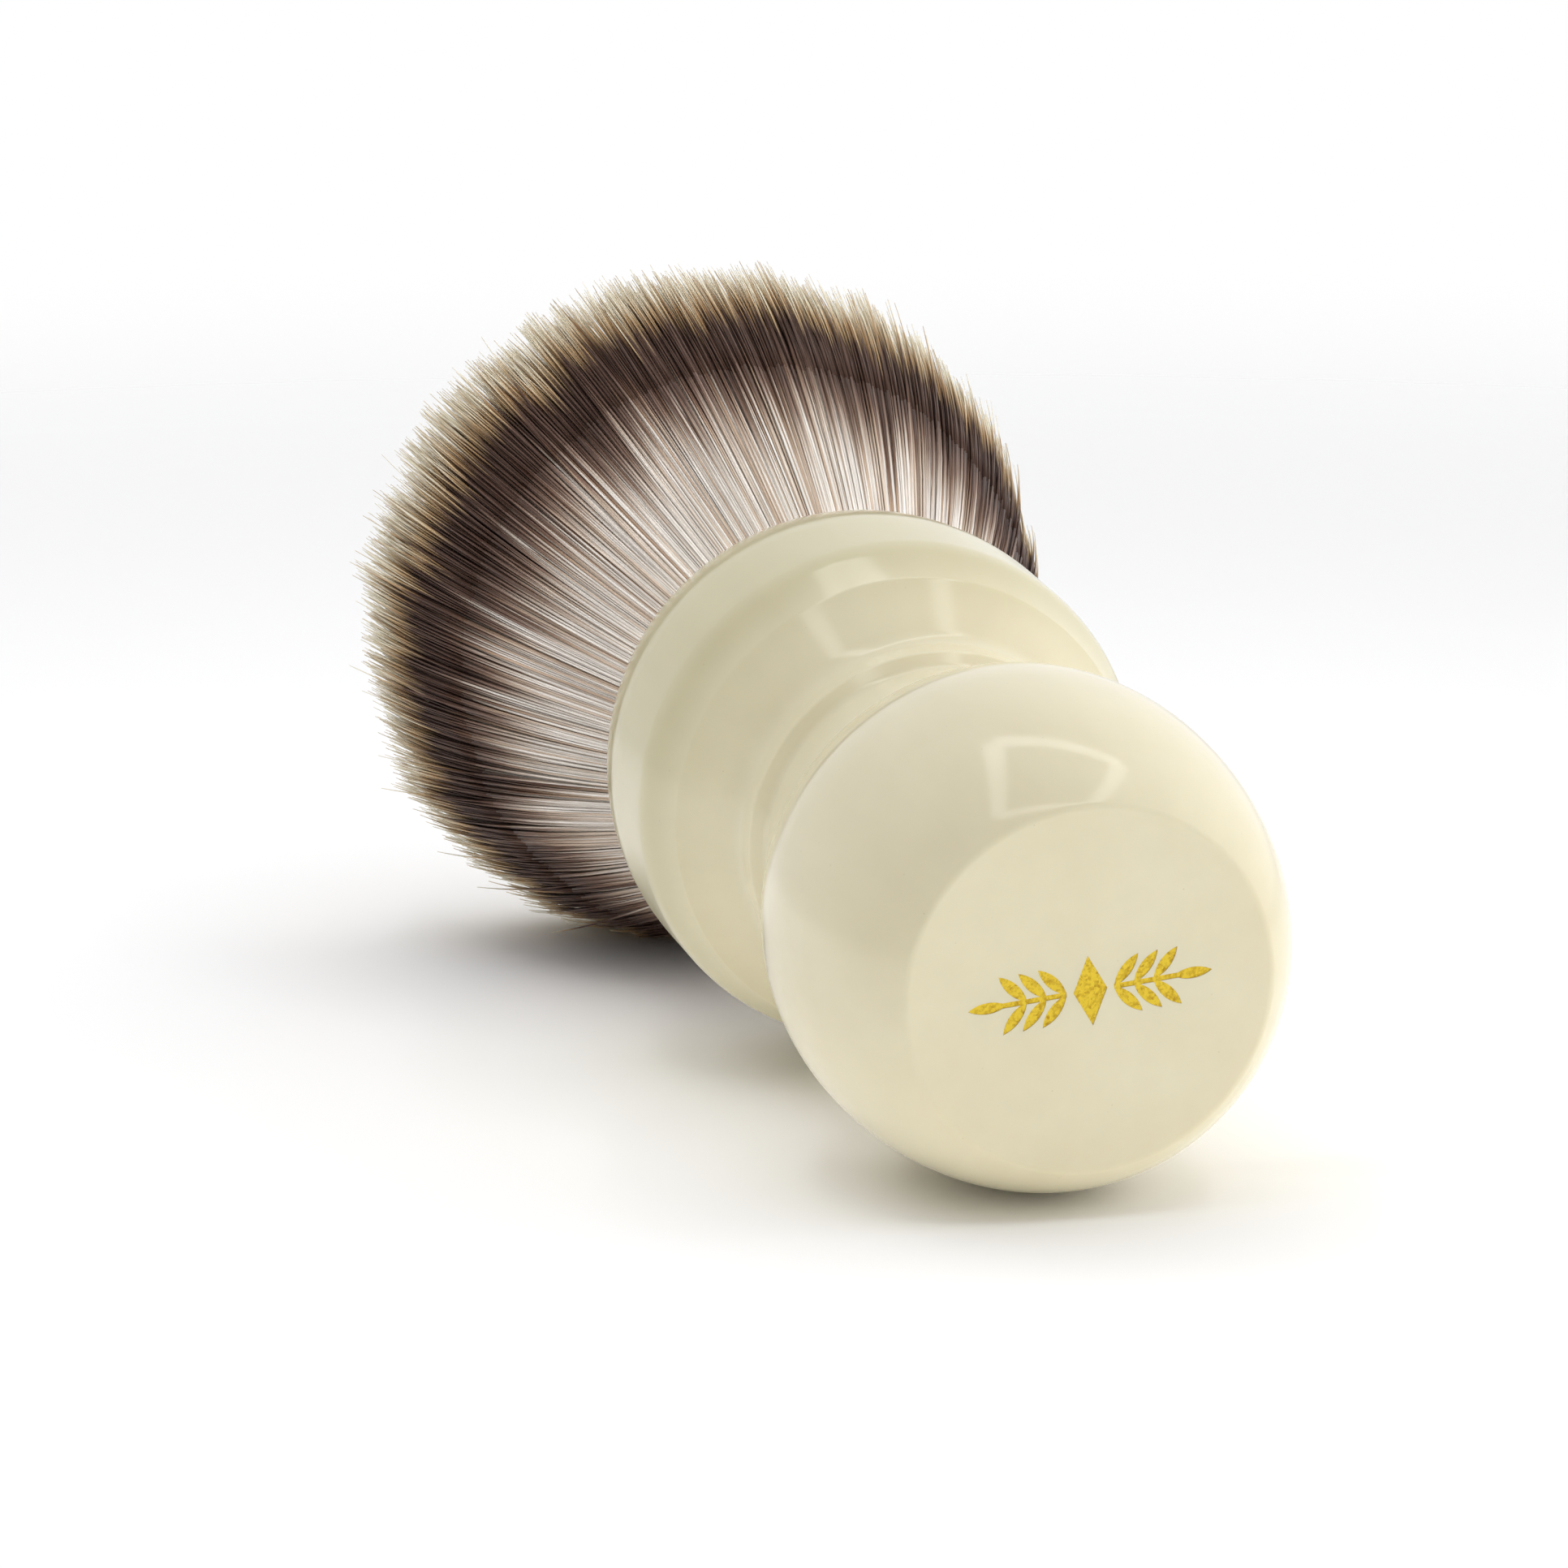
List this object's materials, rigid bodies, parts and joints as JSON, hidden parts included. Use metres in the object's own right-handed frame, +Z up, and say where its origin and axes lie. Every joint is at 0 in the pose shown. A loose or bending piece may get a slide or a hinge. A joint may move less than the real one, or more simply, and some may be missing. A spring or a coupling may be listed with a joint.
{
  "type": "shaving brush",
  "caption": "Shaving brush with a turned resin handle, a bulb base, a narrow neck, a flared collar and a fan of two-band synthetic fibres.",
  "frame": {"origin": "centre of the flat base, on its face", "axes": "+Z up along the handle's axis to the fibre tips; the ornament's long axis lies 38 degrees from +X about Z"},
  "size_m": [0.055, 0.055, 0.1135],
  "materials": {
    "cast_resin": "turned and polished cast polyester, ivory cream",
    "gold_fill": "metallic gold lacquer in a shallow engraving",
    "epoxy": "cured epoxy adhesive",
    "ring_plastic": "injection moulded black plastic",
    "plug_resin": "cast epoxy round the fibre ends",
    "fibre": "crimped synthetic filaments with a dark band and light tips"
  },
  "bodies": {
    "handle": {"handle": "cast_resin", "base_inlay": "gold_fill", "socket_adhesive": "epoxy", "knot_ring": "ring_plastic", "knot_plug": "plug_resin", "fibre_root": "fibre"},
    "lower_bundle": {"fibre_middle": "fibre"},
    "upper_bundle": {"fibre_head": "fibre"}
  },
  "joints": [
    {"name": "lower_sway", "type": "hinge", "parent": "handle", "child": "lower_bundle", "pos_m": [0, 0, 0.0675], "axis": [1, 0, 0], "range_deg": [-20, 20], "stiffness_Nm_per_rad": 0.2},
    {"name": "upper_sway", "type": "hinge", "parent": "lower_bundle", "child": "upper_bundle", "pos_m": [0, 0, 0.0675], "axis": [0, 1, 0], "range_deg": [-20, 20], "stiffness_Nm_per_rad": 0.2}
  ]
}
